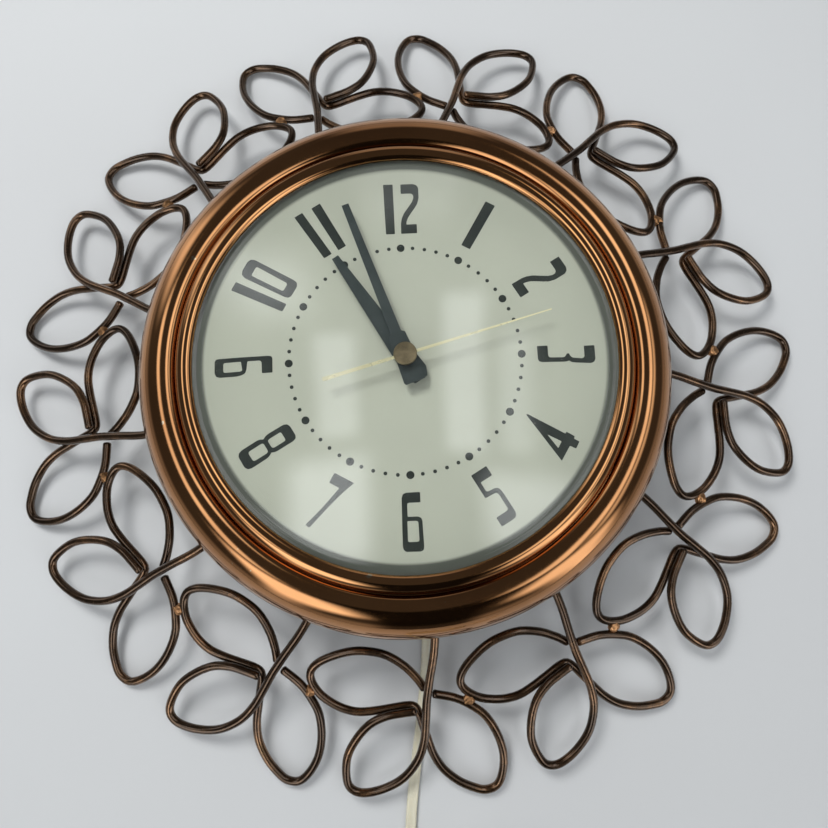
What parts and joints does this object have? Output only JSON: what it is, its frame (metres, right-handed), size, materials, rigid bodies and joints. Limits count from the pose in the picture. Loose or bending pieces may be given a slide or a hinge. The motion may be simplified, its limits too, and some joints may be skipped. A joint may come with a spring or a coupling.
{
  "type": "sunburst wall clock",
  "caption": "Round electric wall clock with a domed glass, three centre hands, a plain numeral dial and a wreath of looped wire leaves; flat two-core cord and plug.",
  "frame": {"origin": "on the hands' axis, in the plane of the back cover's rim, which rests on the wall or table", "axes": "+Z out of the dial, +Y to twelve o'clock, +X to three o'clock; the clock lies on its back"},
  "size_m": [0.4175, 0.5316, 0.0861],
  "materials": {
    "copper_case": "polished copper-tone lacquer",
    "copper_ring": "polished copper-tone lacquer",
    "bronze_wire": "antique bronze lacquer with copper highlights",
    "braze": "bare brazing metal",
    "clear_glass": "clear domed glass",
    "dial_paint": "satin cream paint with printed dark numerals",
    "hand_paint": "satin dark slate paint",
    "bright_brass": "polished brass",
    "plate_brass": "satin brass",
    "zinc_steel": "zinc-plated steel",
    "hoop_steel": "antique bronze lacquer",
    "core_steel": "stacked silicon steel",
    "bobbin_plastic": "natural moulded plastic",
    "coil_wrap": "varnished cloth tape over enamelled wire",
    "cover_paint": "black wrinkle paint",
    "black_plastic": "black moulded plastic",
    "cord_vinyl": "translucent ivory vinyl",
    "plug_vinyl": "moulded ivory vinyl",
    "tie_plastic": "flexible plastic band"
  },
  "bodies": {
    "case": {"case_shell": "copper_case", "bezel_ring": "copper_ring", "glass_crystal": "clear_glass", "dial_plate": "dial_paint", "dial_posts": "plate_brass", "rear_plate": "zinc_steel", "case_screws": "zinc_steel", "wreath_hoop": "hoop_steel", "hoop_spacers": "zinc_steel", "hoop_screws": "zinc_steel", "braze_beads": "braze", "front_movement_plate": "plate_brass", "back_movement_plate": "plate_brass", "movement_pillars": "plate_brass", "movement_screws": "zinc_steel", "chassis_posts": "zinc_steel", "motion_post": "zinc_steel", "stator_core": "core_steel", "motor_spacers": "plate_brass", "motor_screws": "zinc_steel", "coil_bobbin": "bobbin_plastic", "coil_winding": "coil_wrap", "coil_leads": "cord_vinyl", "rotor_can": "plate_brass", "back_cover": "cover_paint", "cover_screws": "zinc_steel", "cord_grommet": "black_plastic", "cord": "cord_vinyl", "cord_coil": "cord_vinyl", "cord_tie": "tie_plastic", "plug_body": "plug_vinyl", "plug_blades": "bright_brass", "leaf_sprig_01": "bronze_wire", "leaf_sprig_02": "bronze_wire", "leaf_sprig_03": "bronze_wire", "leaf_sprig_04": "bronze_wire", "leaf_sprig_05": "bronze_wire", "leaf_sprig_06": "bronze_wire", "leaf_sprig_07": "bronze_wire", "leaf_sprig_08": "bronze_wire", "leaf_sprig_09": "bronze_wire", "leaf_sprig_10": "bronze_wire", "leaf_sprig_11": "bronze_wire", "leaf_sprig_12": "bronze_wire", "leaf_sprig_13": "bronze_wire"},
    "rotor": {"rotor_pinion": "bright_brass"},
    "seconds": {"seconds_wheel": "plate_brass", "second_hand": "bright_brass", "second_hand_hub": "bright_brass"},
    "third": {"third_wheel": "plate_brass"},
    "centre": {"centre_wheel": "plate_brass"},
    "minutes": {"cannon_pinion": "bright_brass", "minute_hand": "hand_paint"},
    "motion": {"motion_wheel": "plate_brass"},
    "hours": {"hour_wheel": "plate_brass", "hour_hand": "hand_paint"},
    "setting": {"set_arbor": "zinc_steel", "set_knob": "black_plastic"}
  },
  "joints": [
    {"name": "second_hand_spin", "type": "hinge", "parent": "case", "child": "seconds", "pos_m": [0, 0, 0.04], "axis": [0, 0, -1], "continuous": true},
    {"name": "rotor_pinion_spin", "type": "hinge", "parent": "case", "child": "rotor", "pos_m": [0, 0.0184, 0.032], "axis": [0, 0, -1], "continuous": true},
    {"name": "third_wheel_spin", "type": "hinge", "parent": "case", "child": "third", "pos_m": [-0.0216, 0, 0.042], "axis": [0, 0, -1], "continuous": true},
    {"name": "centre_wheel_spin", "type": "hinge", "parent": "case", "child": "centre", "pos_m": [0, 0, 0.046], "axis": [0, 0, -1], "continuous": true},
    {"name": "minute_hand_spin", "type": "hinge", "parent": "case", "child": "minutes", "pos_m": [0, 0, 0.055], "axis": [0, 0, -1], "continuous": true},
    {"name": "motion_wheel_spin", "type": "hinge", "parent": "case", "child": "motion", "pos_m": [0.0168, 0, 0.055], "axis": [0, 0, -1], "continuous": true},
    {"name": "hour_hand_spin", "type": "hinge", "parent": "case", "child": "hours", "pos_m": [0, 0, 0.058], "axis": [0, 0, -1], "continuous": true},
    {"name": "set_knob_spin", "type": "hinge", "parent": "case", "child": "setting", "pos_m": [0.035, 0, 0.03], "axis": [0, 0, -1], "continuous": true}
  ],
  "couplings": [
    {"joint": "rotor_pinion_spin", "follows": "second_hand_spin", "ratio": -3.6},
    {"joint": "third_wheel_spin", "follows": "second_hand_spin", "ratio": -0.125},
    {"joint": "centre_wheel_spin", "follows": "second_hand_spin", "ratio": 0.016667},
    {"joint": "motion_wheel_spin", "follows": "minute_hand_spin", "ratio": -0.33333},
    {"joint": "hour_hand_spin", "follows": "minute_hand_spin", "ratio": 0.083333},
    {"joint": "set_knob_spin", "follows": "minute_hand_spin", "ratio": 0.75}
  ]
}
